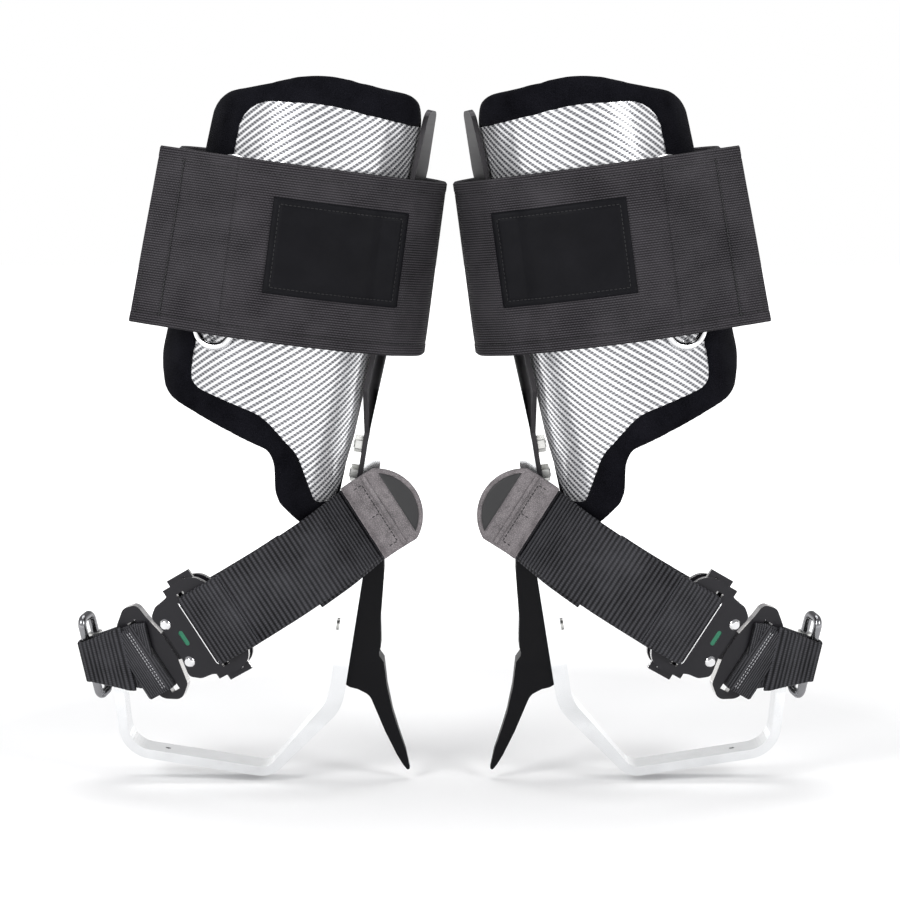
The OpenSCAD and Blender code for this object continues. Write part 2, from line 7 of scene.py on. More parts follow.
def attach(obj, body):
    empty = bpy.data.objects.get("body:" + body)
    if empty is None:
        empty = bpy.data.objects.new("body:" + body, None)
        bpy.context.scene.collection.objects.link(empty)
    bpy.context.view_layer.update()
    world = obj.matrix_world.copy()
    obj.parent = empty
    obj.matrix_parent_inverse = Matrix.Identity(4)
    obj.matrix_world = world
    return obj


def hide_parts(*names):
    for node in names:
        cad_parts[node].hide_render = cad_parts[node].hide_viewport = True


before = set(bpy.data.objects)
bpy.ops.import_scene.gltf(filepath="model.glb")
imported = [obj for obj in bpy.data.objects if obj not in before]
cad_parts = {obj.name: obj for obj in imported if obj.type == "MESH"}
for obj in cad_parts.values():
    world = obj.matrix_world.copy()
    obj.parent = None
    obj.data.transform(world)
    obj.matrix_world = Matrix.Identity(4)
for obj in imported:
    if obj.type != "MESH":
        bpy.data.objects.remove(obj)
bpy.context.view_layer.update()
MM = 0.001


# ---------- the spur's own frames, as in the CAD: numbers in millimetres, matrices in metres ----------

def shift(x, y, z):
    return Matrix.Translation(Vector((x, y, z)) * MM)


def turn(axis, degrees):
    return Matrix.Rotation(math.radians(degrees), 4, axis)


STANCE, LEAN, CUFF_LEAN, STRAP_LEAN = 119.5, 9, 3.66, -4.9
SHANK_X, SHANK_D = 63.5, 30
STAND = shift(-STANCE, 0, 0) @ turn("Y", LEAN) @ shift(-31, 0, 0)
CUFF = STAND @ shift(-6, 0, 275) @ turn("Y", CUFF_LEAN)
WEB = STAND @ shift(SHANK_X + 15.2, 0, 185) @ turn("Y", 138.7)
BUCKLE_AT, BUCKLE_YAW = (108, -61), 22
BUCKLE = WEB @ shift(BUCKLE_AT[0], BUCKLE_AT[1], 0) @ turn("Z", BUCKLE_YAW)
SLOT_S = 66
LOOP = BUCKLE @ shift(SLOT_S, 0, -1) @ turn("Y", 22)
SHELL_R = 64.7
STRAP_H, STRAP_T, STRAP_Z = 110, 2.6, 8.5
STRAP_MID = STRAP_Z + STRAP_H / 2
STRAP_FRAME = CUFF @ shift(0, 0, STRAP_MID) @ turn("Y", STRAP_LEAN) @ shift(0, 0, -STRAP_MID)
WEB_W, WEB_T = 50, 2.1
STANDOFF, SEAT_GAP, GAP = 10, 0.02, 0.3
PLATE_IN, PLATE_T = 2.4, 2.1
PLATE_OUT = PLATE_IN + PLATE_T
WEB_MID = -SHANK_D / 2 - STANDOFF - SEAT_GAP - WEB_T / 2
WEB_N = PLATE_OUT + GAP + WEB_T / 2
LOOP_LEN, LOOP_N, LOOP_W = 46, 3.4, 26
SIDES = ("right", "left")


# ---------- mesh helpers: millimetres in a local frame, metres in the row frame ----------

def emit(name, side, body, mat, verts, faces, uvs=None, replaces=()):
    """Makes one piece of the right spur, or its mirror image for the left one."""
    co = np.array(verts, float)
    if side == "left":
        co = co * [-1, 1, 1]
        faces = [tuple(reversed(f)) for f in faces]
    mesh = bpy.data.meshes.new(f"{side}_{name}")
    mesh.from_pydata(co.tolist(), [], [tuple(int(i) for i in f) for f in faces])
    if uvs is not None:
        layer = mesh.uv_layers.new(name="metres")
        index = np.zeros(len(mesh.loops), np.int32)
        mesh.loops.foreach_get("vertex_index", index)
        layer.data.foreach_set("uv", np.array(uvs, np.float32)[index].ravel())
    mesh.polygons.foreach_set("use_smooth", [True] * len(mesh.polygons))
    mesh.materials.append(mat)
    obj = bpy.data.objects.new(f"{side}_{name}", mesh)
    bpy.context.collection.objects.link(obj)
    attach(obj, f"{side}_{body}")
    if replaces:
        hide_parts(*[f"{side}_{n}" for n in replaces])
    return obj


def to_row(matrix, points):
    m = np.array(matrix, float)
    return np.array(points, float) * MM @ m[:3, :3].T + m[:3, 3]


def round_corners(points, n=8):
    """A path of [x, y, radius] with every inner corner rounded."""
    out = [np.array(points[0][:2], float)]
    for a, b, c in zip(points, points[1:], points[2:]):
        radius = b[2]
        a, b, c = (np.array(p[:2], float) for p in (a, b, c))
        u, v = (a - b) / np.linalg.norm(a - b), (c - b) / np.linalg.norm(c - b)
        half = math.acos(np.clip(u @ v, -1, 1)) / 2
        m = b + (u + v) / np.linalg.norm(u + v) * radius / math.sin(half)
        p, q = b + u * radius / math.tan(half), b + v * radius / math.tan(half)
        start = math.atan2(*(p - m)[::-1])
        sweep = (math.atan2(*(q - m)[::-1]) - start + 3 * math.pi) % (2 * math.pi) - math.pi
        out += [m + radius * np.array([math.cos(start + sweep * i / n), math.sin(start + sweep * i / n)])
                for i in range(n + 1)]
    return np.array(out + [np.array(points[-1][:2], float)])


def resample(points, step):
    """The same path with its points evenly spaced, and its smoothed normals."""
    p = np.array(points, float)
    s = np.concatenate([[0], np.cumsum(np.linalg.norm(np.diff(p, axis=0), axis=1))])
    keep = np.concatenate([[True], np.diff(s) > 1e-9])
    p, s = p[keep], s[keep]
    t = np.linspace(0, s[-1], max(4, int(round(s[-1] / step)) + 1))
    q = np.stack([np.interp(t, s, p[:, k]) for k in (0, 1)], axis=1)
    d = np.gradient(q, axis=0)
    n = np.stack([-d[:, 1], d[:, 0]], axis=1)
    return t, q, n / np.linalg.norm(n, axis=1)[:, None]


class Band:
    """A strip of material along a path in the x-y plane of a frame, standing along its z."""

    def __init__(self, matrix, path, lo, hi, thick, step=1.6, out=1, rise=None, skew=0.0):
        self.matrix, self.thick, self.out, self.skew = matrix, thick, out, skew
        self.s, self.p, self.n = resample(path, step)
        self.n = self.n * out
        self.lo = lo if callable(lo) else (lambda s: lo + 0 * s)
        self.hi = hi if callable(hi) else (lambda s: hi + 0 * s)
        self.rise = rise or (lambda s, z: 0 * s * z)

    def at(self, s, z, height):
        """A point on the strip, height above its middle surface."""
        s, z = np.broadcast_arrays(np.asarray(s, float), np.asarray(z, float))
        if self.skew:
            s = s * (1 - self.skew * (z - self.lo(s)) / (self.hi(s) - self.lo(s)))
        p = np.stack([np.interp(s, self.s, self.p[:, k]) for k in (0, 1)], axis=-1)
        n = np.stack([np.interp(s, self.s, self.n[:, k]) for k in (0, 1)], axis=-1)
        q = p + n * np.broadcast_to(height, s.shape)[..., None]
        return np.concatenate([q, z[..., None]], axis=-1)

    def solid(self, columns=48, edge=1.2):
        """Vertices, faces and metre UVs of the closed strip, with rounded edges."""
        rows = len(self.s)
        k = np.linspace(0, 1, columns)
        lo, hi = self.lo(self.s)[:, None], self.hi(self.s)[:, None]
        z = lo + (hi - lo) * k[None, :]
        s = np.repeat(self.s[:, None], columns, axis=1)
        inset = np.clip(np.minimum(z - lo, hi - z) / edge, 0, 1)
        half = self.thick / 2 * np.sqrt(np.clip(1 - (1 - inset) ** 2, 0.02, 1))
        bump = self.rise(s, z)
        front = self.at(s, z, half + bump)
        back = self.at(s, z, -half + 0.5 * bump)
        ring = np.concatenate([front, back[:, ::-1]], axis=1)
        uv = np.concatenate([np.stack([s, z], -1), np.stack([s, z], -1)[:, ::-1]], axis=1) * MM
        c = 2 * columns
        i, j = np.meshgrid(np.arange(rows - 1), np.arange(c), indexing="ij")
        a, b = i * c + j, i * c + (j + 1) % c
        quads = np.stack([a, b, b + c, a + c], -1).reshape(-1, 4)
        if self.out < 0:
            quads = quads[:, ::-1]
        faces = [tuple(f) for f in quads]
        for base, flip in ((0, True), ((rows - 1) * c, False)):
            for m in range(columns - 1):
                f = (base + m, base + m + 1, base + c - 2 - m, base + c - 1 - m)
                f = f if flip == (self.out > 0) else f[::-1]
                faces.append(f[::-1])
        return ring.reshape(-1, 3), faces, uv.reshape(-1, 2)

    def piece(self, name, side, body, slot, mat, columns=48, edge=1.2, replaces=()):
        v, f, uv = self.solid(columns, edge)
        return emit(name, side, body, mat, to_row(self.matrix, v), f, uv, replaces=replaces)


def stitches(band, lines, pitch=3.0, length=2.1, radius=0.28, height=0.0):
    """Short rounded threads along lines on a strip; a line is (s0, z0, s1, z1)."""
    verts, faces = [], []
    sides, rings = 6, ((-0.5, 0.35), (-0.36, 0.9), (0.36, 0.9), (0.5, 0.35))
    for s0, z0, s1, z1 in lines:
        total = math.hypot(s1 - s0, z1 - z0)
        count = max(1, int(total / pitch))
        for k in range(count):
            base = len(verts)
            mid = (k + 0.5) / count
            for off, r in rings:
                t = mid + off * length / total
                s, z = s0 + (s1 - s0) * t, z0 + (z1 - z0) * t
                ds, dz = (s1 - s0) / total, (z1 - z0) / total
                for q in range(sides):
                    a = 2 * math.pi * q / sides
                    side_off, up = r * radius * math.cos(a), r * radius * math.sin(a)
                    sink = 0.1 - 0.22 * (2 * abs(off)) ** 2
                    h = band.thick / 2 + height + up + sink
                    verts.append(band.at(s - dz * side_off, z + ds * side_off, np.array(h)))
            for i in range(len(rings) - 1):
                for q in range(sides):
                    a, b = base + i * sides + q, base + i * sides + (q + 1) % sides
                    faces.append((a, b, b + sides, a + sides))
            faces.append(tuple(base + q for q in reversed(range(sides))))
            faces.append(tuple(base + (len(rings) - 1) * sides + q for q in range(sides)))
    return np.array(verts), faces


def thread(name, side, body, slot, mat, band, lines, **size):
    v, f = stitches(band, lines, **size)
    return emit(name, side, body, mat, to_row(band.matrix, v), f)


# ---------- materials ----------

def new_material(name, color, rough, metallic=0.0, **sockets):
    mat = bpy.data.materials.new(name)
    mat.use_nodes = True
    shader = mat.node_tree.nodes["Principled BSDF"]
    shader.inputs["Base Color"].default_value = (*color, 1)
    shader.inputs["Roughness"].default_value = rough
    shader.inputs["Metallic"].default_value = metallic
    for key, value in sockets.items():
        shader.inputs[key.replace("_", " ")].default_value = value
    return mat, mat.node_tree, shader


class Graph:
    """Short calls for building a node tree."""

    def __init__(self, tree, shader):
        self.tree, self.shader = tree, shader

    def node(self, kind, **settings):
        n = self.tree.nodes.new(kind)
        for k, v in settings.items():
            setattr(n, k, v)
        return n

    def put(self, socket, value):
        if isinstance(value, (int, float)):
            socket.default_value = value
        else:
            self.tree.links.new(value, socket)

    def math(self, op, a, b=0.0, clamp=False):
        n = self.node("ShaderNodeMath", operation=op, use_clamp=clamp)
        self.put(n.inputs[0], a)
        self.put(n.inputs[1], b)
        return n.outputs[0]

    def uv(self):
        n = self.node("ShaderNodeUVMap", uv_map="metres")
        split = self.node("ShaderNodeSeparateXYZ")
        self.tree.links.new(n.outputs[0], split.inputs[0])
        return split.outputs[0], split.outputs[1]

    def place(self, matrix=None, mirror=False):
        """Object coordinates in metres, in a local frame of the spur when one is given."""
        co = self.node("ShaderNodeTexCoord").outputs["Object"]
        if matrix is None:
            return co
        if mirror:
            flip = self.node("ShaderNodeVectorMath", operation="MULTIPLY")
            self.tree.links.new(co, flip.inputs[0])
            flip.inputs[1].default_value = (-1, 1, 1)
            co = flip.outputs[0]
        inverse = matrix.inverted()
        turned = self.node("ShaderNodeMapping", vector_type="POINT")
        turned.inputs["Rotation"].default_value = inverse.to_euler("XYZ")
        turned.inputs["Location"].default_value = inverse.to_translation()
        self.tree.links.new(co, turned.inputs["Vector"])
        return turned.outputs[0]

    def noise(self, vector, scale, detail=3.0, rough=0.55):
        n = self.node("ShaderNodeTexNoise")
        self.tree.links.new(vector, n.inputs["Vector"])
        n.inputs["Scale"].default_value = scale
        n.inputs["Detail"].default_value = detail
        n.inputs["Roughness"].default_value = rough
        return n.outputs["Fac"]

    def wave(self, value, pitch, phase=0.0):
        """A sine of the value with the given pitch, from 0 to 1."""
        turns = self.math("MULTIPLY", value, 2 * math.pi / pitch)
        sine = self.math("SINE", self.math("ADD", turns, phase))
        return self.math("MULTIPLY", self.math("ADD", sine, 1.0), 0.5)

    def ramp(self, value, stops):
        n = self.node("ShaderNodeValToRGB")
        while len(n.color_ramp.elements) < len(stops):
            n.color_ramp.elements.new(0.5)
        for e, (at, color) in zip(n.color_ramp.elements, stops):
            e.position = at
            e.color = (*color, 1)
        self.tree.links.new(value, n.inputs[0])
        return n.outputs[0]

    def color(self, value, stops):
        self.tree.links.new(self.ramp(value, stops), self.shader.inputs["Base Color"])

    def roughness(self, value, lo, hi):
        n = self.node("ShaderNodeMapRange")
        self.tree.links.new(value, n.inputs["Value"])
        n.inputs["To Min"].default_value = lo
        n.inputs["To Max"].default_value = hi
        self.tree.links.new(n.outputs[0], self.shader.inputs["Roughness"])

    def bump(self, height, distance, strength=1.0):
        n = self.node("ShaderNodeBump")
        n.inputs["Strength"].default_value = strength
        n.inputs["Distance"].default_value = distance
        self.tree.links.new(height, n.inputs["Height"])
        self.tree.links.new(n.outputs[0], self.shader.inputs["Normal"])


DRAWN_LINES = (40, 40, 900)


def metal(name, color, rough, metallic=1.0, spread=0.08, spec=0.5):
    """A metal with fine drawn lines, and roughness that varies a little."""
    mat, tree, shader = new_material(name, color, rough, metallic, Specular_IOR_Level=spec)
    g = Graph(tree, shader)
    stretch = g.node("ShaderNodeMapping")
    stretch.inputs["Scale"].default_value = DRAWN_LINES
    tree.links.new(g.place(), stretch.inputs["Vector"])
    lines = g.noise(stretch.outputs[0], 1.0, 4.0)
    cloud = g.noise(g.place(), 60.0, 3.0)
    both = g.math("MULTIPLY", g.math("ADD", lines, cloud), 0.5)
    g.roughness(both, max(0.02, rough - spread), rough + spread)
    dark = tuple(c * 0.86 for c in color)
    g.color(cloud, [(0.25, dark), (0.75, color)])
    g.bump(lines, 0.00003, 0.5)
    return mat


def bare_edged(name, side, matrix, face, color, rough):
    """Black coating on the faces of a plate, and bright cut metal on its edges."""
    mat, tree, shader = new_material(f"{name}_{side}", color, rough, 0.3, Specular_IOR_Level=0.22)
    g = Graph(tree, shader)
    normal = Vector(np.array(matrix, float)[:3, :3] @ np.array(face, float))
    if side == "left":
        normal.x = -normal.x
    dot = g.node("ShaderNodeVectorMath", operation="DOT_PRODUCT")
    tree.links.new(g.node("ShaderNodeTexCoord").outputs["Normal"], dot.inputs[0])
    dot.inputs[1].default_value = normal
    cloud = g.noise(g.place(), 240.0, 4.0)
    facing = g.math("ABSOLUTE", dot.outputs["Value"])
    edge = g.math("SUBTRACT", 1.0, g.math("MULTIPLY", g.math("SUBTRACT", facing, 0.35), 3.0), clamp=True)
    worn = g.math("ADD", edge, g.math("MULTIPLY", g.math("GREATER_THAN", cloud, 0.78), 0.25), clamp=True)
    g.color(worn, [(0.1, color), (0.9, (0.8, 0.79, 0.78))])
    tree.links.new(worn, shader.inputs["Metallic"])
    g.roughness(worn, rough, 0.24)
    g.bump(g.noise(g.place(), 1500.0, 2.0), 0.00002, 0.4)
    return mat


def twill(side):
    """Glossy silver cloth laid up in clear resin: steep ribs crossed by short dark gaps."""
    mat, tree, shader = new_material(f"silver_weave_{side}", (0.7, 0.71, 0.72), 0.24, 0.55,
                                     Coat_Weight=0.8, Coat_Roughness=0.06)
    g = Graph(tree, shader)
    split = g.node("ShaderNodeSeparateXYZ")
    tree.links.new(g.place(CUFF, side == "left"), split.inputs[0])
    x, y, z = split.outputs
    around = g.math("MULTIPLY", g.math("ARCTAN2", x, g.math("MULTIPLY", y, -1.0)), SHELL_R * MM)
    slope = math.radians(42)
    across = g.math("SUBTRACT", g.math("MULTIPLY", z, math.cos(slope)),
                    g.math("MULTIPLY", around, math.sin(slope)))
    along = g.math("ADD", g.math("MULTIPLY", z, math.sin(slope)),
                   g.math("MULTIPLY", around, math.cos(slope)))
    rib = g.math("POWER", g.wave(across, 3.7 * MM), 1.4)
    dash = g.wave(g.math("ADD", along, g.math("MULTIPLY", across, 0.5)), 2.1 * MM)
    depth = g.math("ADD", 0.25, g.math("MULTIPLY", dash, 0.75))
    gap = g.math("MULTIPLY", g.math("SUBTRACT", 1.0, rib), depth)
    tone = g.math("SUBTRACT", g.math("ADD", 0.62, g.math("MULTIPLY", rib, 0.5)),
                  g.math("MULTIPLY", gap, 0.85), clamp=True)
    g.color(tone, [(0.0, (0.07, 0.07, 0.08)), (0.5, (0.36, 0.365, 0.38)), (1.0, (0.9, 0.9, 0.91))])
    g.roughness(tone, 0.42, 0.2)
    g.bump(tone, 0.00012, 0.55)
    return mat


def pad_fabric(side):
    """Brushed loop cloth over foam."""
    mat, tree, shader = new_material(f"black_pad_{side}", (0.012, 0.012, 0.014), 0.95,
                                     Sheen_Weight=0.01, Sheen_Roughness=0.5, Specular_IOR_Level=0.02)
    g = Graph(tree, shader)
    split = g.node("ShaderNodeSeparateXYZ")
    tree.links.new(g.place(CUFF, side == "left"), split.inputs[0])
    x, y, z = split.outputs
    around = g.math("MULTIPLY", g.math("ARCTAN2", x, g.math("MULTIPLY", y, -1.0)), SHELL_R * MM)
    weave = g.math("MULTIPLY", g.wave(z, 1.5 * MM), g.wave(around, 1.5 * MM))
    fuzz = g.noise(g.place(), 1400.0, 2.0, 0.7)
    cloud = g.noise(g.place(), 45.0, 4.0)
    height = g.math("ADD", g.math("MULTIPLY", weave, 0.5), g.math("MULTIPLY", fuzz, 0.8))
    g.color(g.math("MULTIPLY", g.math("ADD", cloud, fuzz), 0.5),
            [(0.3, (0.001, 0.001, 0.0015)), (0.7, (0.008, 0.008, 0.011))])
    g.bump(height, 0.00035, 0.8)
    return mat


def ribbed(name, dark_tone_and_shade, light_tone_and_highlight, rib, knot, along=True, sheen=0.2, rough=0.75, depth=0.0003, spec=0.4):
    """Woven strap: ribs of one pitch, crossed by knots of another. along puts the ribs along u. Its colour
    follows the weave's height: painted shade in the valleys and painted highlight on the crests, mixed with
    random tone.
    """
    mat, tree, shader = new_material(name, light_tone_and_highlight, rough, Sheen_Weight=sheen, Sheen_Roughness=0.45,
                                     Specular_IOR_Level=spec)
    g = Graph(tree, shader)
    u, v = g.uv()
    a, b = (v, u) if along else (u, v)
    row = g.math("FLOOR", g.math("DIVIDE", a, rib * MM))
    odd = g.math("MULTIPLY", g.math("MODULO", g.math("ABSOLUTE", row), 2.0), math.pi)
    ribs = g.wave(a, rib * MM, -math.pi / 2)
    knots = g.wave(g.math("ADD", b, g.math("MULTIPLY", odd, knot * MM / (2 * math.pi))), knot * MM)
    fibre = g.noise(g.place(), 900.0, 3.0, 0.6)
    cloud = g.noise(g.place(), 38.0, 4.0)
    height = g.math("ADD", g.math("MULTIPLY", ribs, g.math("ADD", 0.55, g.math("MULTIPLY", knots, 0.45))),
                    g.math("MULTIPLY", fibre, 0.25))
    # painted shade and highlight: darker colour in the rib and knot valleys, lighter on their crests, plus
    # random cloud tone
    tone = g.math("ADD", g.math("MULTIPLY", height, 0.6), g.math("MULTIPLY", cloud, 0.5))
    g.color(tone, [(0.25, dark_tone_and_shade), (0.85, light_tone_and_highlight)])
    g.roughness(fibre, rough - 0.12, min(1.0, rough + 0.12))
    g.bump(height, depth, 0.9)
    return mat


def satin():
    mat, tree, shader = new_material("patch_satin", (0.01, 0.01, 0.012), 0.5, Specular_IOR_Level=0.06)
    g = Graph(tree, shader)
    u, v = g.uv()
    slant = g.math("ADD", v, g.math("MULTIPLY", u, 0.5))
    weave = g.math("MULTIPLY", g.wave(u, 0.7 * MM), g.wave(slant, 0.5 * MM))
    cloud = g.noise(g.place(), 55.0, 4.0)
    g.color(g.math("MULTIPLY", g.math("ADD", weave, cloud), 0.5),
            [(0.2, (0.003, 0.003, 0.004)), (0.8, (0.009, 0.009, 0.011))])
    g.roughness(weave, 0.42, 0.62)
    g.bump(weave, 0.00008, 0.6)
    return mat


def leather():
    mat, tree, shader = new_material("tab_leather", (0.07, 0.06, 0.062), 0.5, Specular_IOR_Level=0.45)
    g = Graph(tree, shader)
    cells = g.node("ShaderNodeTexVoronoi", feature="DISTANCE_TO_EDGE")
    cells.inputs["Scale"].default_value = 900.0
    tree.links.new(g.place(), cells.inputs["Vector"])
    grain = g.math("MINIMUM", g.math("MULTIPLY", cells.outputs["Distance"], 5.0), 1.0)
    cloud = g.noise(g.place(), 130.0, 5.0, 0.65)
    g.color(g.math("ADD", g.math("MULTIPLY", grain, 0.3), g.math("MULTIPLY", cloud, 0.75)),
            [(0.3, (0.06, 0.053, 0.056)), (0.8, (0.21, 0.19, 0.197))])
    g.roughness(cloud, 0.38, 0.68)
    g.bump(g.math("ADD", grain, g.math("MULTIPLY", cloud, 0.8)), 0.00015, 0.7)
    return mat


def plastic(name, color, rough):
    mat, tree, shader = new_material(name, color, rough)
    g = Graph(tree, shader)
    grain = g.noise(g.place(), 1200.0, 2.0)
    g.color(grain, [(0.3, tuple(c * 0.8 for c in color)), (0.7, color)])
    g.roughness(grain, rough - 0.08, rough + 0.08)
    g.bump(grain, 0.00004, 0.5)
    return mat


ALUMINIUM = metal("polished_aluminium", (0.84, 0.85, 0.86), 0.2, spread=0.07)
ARM_METAL = metal("dark_aluminium", (0.045, 0.043, 0.046), 0.42, 0.6, spec=0.15)
BLACK_STEEL = metal("black_steel", (0.005, 0.005, 0.006), 0.45, 0.0, 0.12, spec=0.09)
PLATED = metal("plated_steel", (0.62, 0.62, 0.6), 0.28)
CHROME = metal("chrome_wire", (0.82, 0.82, 0.83), 0.09, spread=0.05)
DARK_STEEL = metal("dark_steel_wire", (0.26, 0.26, 0.27), 0.2, spread=0.08)
NYLON = plastic("black_nylon", (0.03, 0.03, 0.03), 0.5)
GREEN = plastic("green_marker", (0.006, 0.15, 0.075), 0.35)
COATED = (0.012, 0.0115, 0.014)
PLATE = {side: bare_edged("buckle_plate", side, BUCKLE, (0, 1, 0), COATED, 0.42) for side in SIDES}
WEAVE = {side: twill(side) for side in SIDES}
PAD = {side: pad_fabric(side) for side in SIDES}
# first colour: dark tone and painted shade in the weave's valleys; second colour: light tone and painted
# highlight on its crests
STRAP = ribbed("strap_fabric", (0.006, 0.0055, 0.0065), (0.05, 0.047, 0.052), 1.5, 1.9, sheen=0.02,
               rough=0.8, depth=0.0003, spec=0.06)
WEBBING = ribbed("webbing", (0.0015, 0.0015, 0.002), (0.05, 0.05, 0.056), 3.0, 1.4, along=False,
                 sheen=0.01, rough=0.5, depth=0.0005, spec=0.09)
NARROW = ribbed("webbing_fine", (0.005, 0.005, 0.006), (0.06, 0.06, 0.066), 1.6, 1.2, along=False,
                sheen=0.01, rough=0.5, depth=0.0004, spec=0.09)
PATCH = satin()
LEATHER = leather()
THREAD = plastic("black_thread", (0.004, 0.004, 0.005), 0.6)
PALE_THREAD = plastic("silver_thread", (0.42, 0.42, 0.44), 0.45)
BLACK_INSET = plastic("tab_inset", (0.012, 0.012, 0.013), 0.55)


# ---------- CAD pieces that stay: materials and softened edges ----------

def finish_cad(side, node, mat, width, angle=28):
    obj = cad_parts[f"{side}_{node}"]
    obj.data.materials.clear()
    obj.data.materials.append(mat)
    weld = obj.modifiers.new("weld", "WELD")
    weld.merge_threshold = 2e-6
    bevel = obj.modifiers.new("bevel", "BEVEL")
    bevel.width = width * MM
    bevel.segments = 2
    bevel.limit_method = "ANGLE"
    bevel.angle_limit = math.radians(angle)
    bevel.use_clamp_overlap = True
    normals = obj.modifiers.new("normals", "WEIGHTED_NORMAL")
    normals.keep_sharp = True
    normals.weight = 80


HARD = {
    "shank_stirrup": (ALUMINIUM, 0.8), "upper_arm": (ARM_METAL, 0.35), "arm_screws": (PLATED, 0.25),
    "arm_nuts": (PLATED, 0.3), "gaff": (BLACK_STEEL, 0.5), "gaff_screws": (PLATED, 0.35),
    "cuff_screws": (PLATED, 0.35), "arm_spacers": (NYLON, 0.25), "ring_bracket": (PLATED, 0.25),
    "bracket_rivets": (PLATED, 0.3), "strap_ring": (CHROME, 0.1), "tab_rivet": (PLATED, 0.3),
    "buckle_rivets": (CHROME, 0.45), "buckle_indicator": (GREEN, 0.12), "latch_springs": (PLATED, 0.05),
    "stirrup_ring": (DARK_STEEL, 0.1), "ring_clip": (PLATED, 0.3),
}
PLATES = ("buckle_front_plate", "buckle_back_plate", "buckle_tongue", "upper_latch", "lower_latch")


def hard_parts(side):
    for node, (mat, width) in HARD.items():
        finish_cad(side, node, mat, width)
    for node in PLATES:
        finish_cad(side, node, PLATE[side], 0.3, 40)
    finish_cad(side, "cuff_shell", WEAVE[side], 0.5, 40)


# ---------- the pad: foam that swells inside its cover ----------

PAD_FRAMES = 20


def node_copy(node, name):
    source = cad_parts[node]
    mesh = source.data.copy()
    mesh.materials.clear()
    obj = bpy.data.objects.new(name, mesh)
    bpy.context.collection.objects.link(obj)
    return obj


def points_of(obj):
    co = np.zeros(len(obj.data.vertices) * 3)
    obj.data.vertices.foreach_get("co", co)
    return co.reshape(-1, 3)


def taken(obj):
    """The vertices and faces of a working copy, which is then removed."""
    verts = points_of(obj)
    faces = [tuple(p.vertices) for p in obj.data.polygons]
    bpy.data.objects.remove(obj)
    return verts, faces


def apply_modifiers(obj):
    deps = bpy.context.evaluated_depsgraph_get()
    mesh = bpy.data.meshes.new_from_object(obj.evaluated_get(deps))
    obj.modifiers.clear()
    old = obj.data
    obj.data = mesh
    bpy.data.meshes.remove(old)


def remeshed(obj, voxel, smooth):
    """Rebuilds the surface in even steps of voxel millimetres and relaxes it smooth times."""
    remesh = obj.modifiers.new("remesh", "REMESH")
    remesh.mode = "VOXEL"
    remesh.voxel_size = voxel * MM
    remesh.use_smooth_shade = True
    relax = obj.modifiers.new("relax", "SMOOTH")
    relax.iterations = smooth
    relax.factor = 0.5
    apply_modifiers(obj)


def swollen(obj, limit):
    """Blows the closed cover up a little, as foam fills it, and keeps every point within the limit."""
    rest = points_of(obj)
    cloth = obj.modifiers.new("cloth", "CLOTH")
    cloth.settings.quality = 4
    cloth.settings.mass = 0.3
    cloth.settings.tension_stiffness = 15
    cloth.settings.compression_stiffness = 15
    cloth.settings.bending_stiffness = 0.5
    cloth.settings.use_pressure = True
    cloth.settings.uniform_pressure_force = 4
    cloth.settings.effector_weights.gravity = 0
    cloth.point_cache.frame_start = 1
    cloth.point_cache.frame_end = PAD_FRAMES
    scene = bpy.context.scene
    for f in range(1, PAD_FRAMES + 1):
        scene.frame_set(f)
    apply_modifiers(obj)
    scene.frame_set(1)
    move = points_of(obj) - rest
    length = np.linalg.norm(move, axis=1)[:, None]
    move *= np.minimum(1, limit * MM / np.maximum(length, 1e-9))
    obj.data.vertices.foreach_set("co", (rest + move).ravel())


def build_pad():
    """The right cuff's pad, in the row frame; the left one is its mirror image."""
    obj = node_copy("right_cuff_pad", "pad_master")
    remeshed(obj, 2.2, 8)
    swollen(obj, 0.7)
    relax = obj.modifiers.new("relax", "SMOOTH")
    relax.iterations = 2
    apply_modifiers(obj)
    return taken(obj)


# ---------- calf strap, its free end and the label ----------

STRAP_KNOTS = [(-388, 77.2), (-372, 70.9), (-360, 69.4), (-338, 70), (-318, 75.5), (-300, 84),
               (-280, 89), (-262, 89.5), (-180, 81), (-90, 78), (-62, 78), (-46, 76.9)]
RING_BAR_AT = (75.5, -42)
FLAP_END = (-89, -52)


def strap_r(a):
    for (a0, r0), (a1, r1) in zip(STRAP_KNOTS, STRAP_KNOTS[1:]):
        if a <= a1:
            break
    t = min(max((a - a0) / (a1 - a0), 0), 1)
    return r0 + (r1 - r0) * t * t * (3 - 2 * t)


def polar(r, a):
    return (r * math.sin(math.radians(a)), -r * math.cos(math.radians(a)))


STRAP_LO, STRAP_HI = STRAP_Z, STRAP_Z + STRAP_H
SEAM_IN = 7.5


def strap_rise(s, z):
    """Hems, seam grooves and slow ripples of the wide strap."""
    grooves = sum(np.exp(-((z - at) / 0.7) ** 2) for at in (STRAP_LO + SEAM_IN, STRAP_HI - SEAM_IN))
    hem = 0.25 * (np.clip((STRAP_LO + SEAM_IN - z) / 2, 0, 1) + np.clip((z - STRAP_HI + SEAM_IN) / 2, 0, 1))
    ripple = 0.16 * np.sin(s / 23 + z / 31) * np.sin(z / 17 + 0.6) + 0.1 * np.sin(s / 9.5 - z / 14)
    return hem - 0.4 * grooves + ripple + 0.12


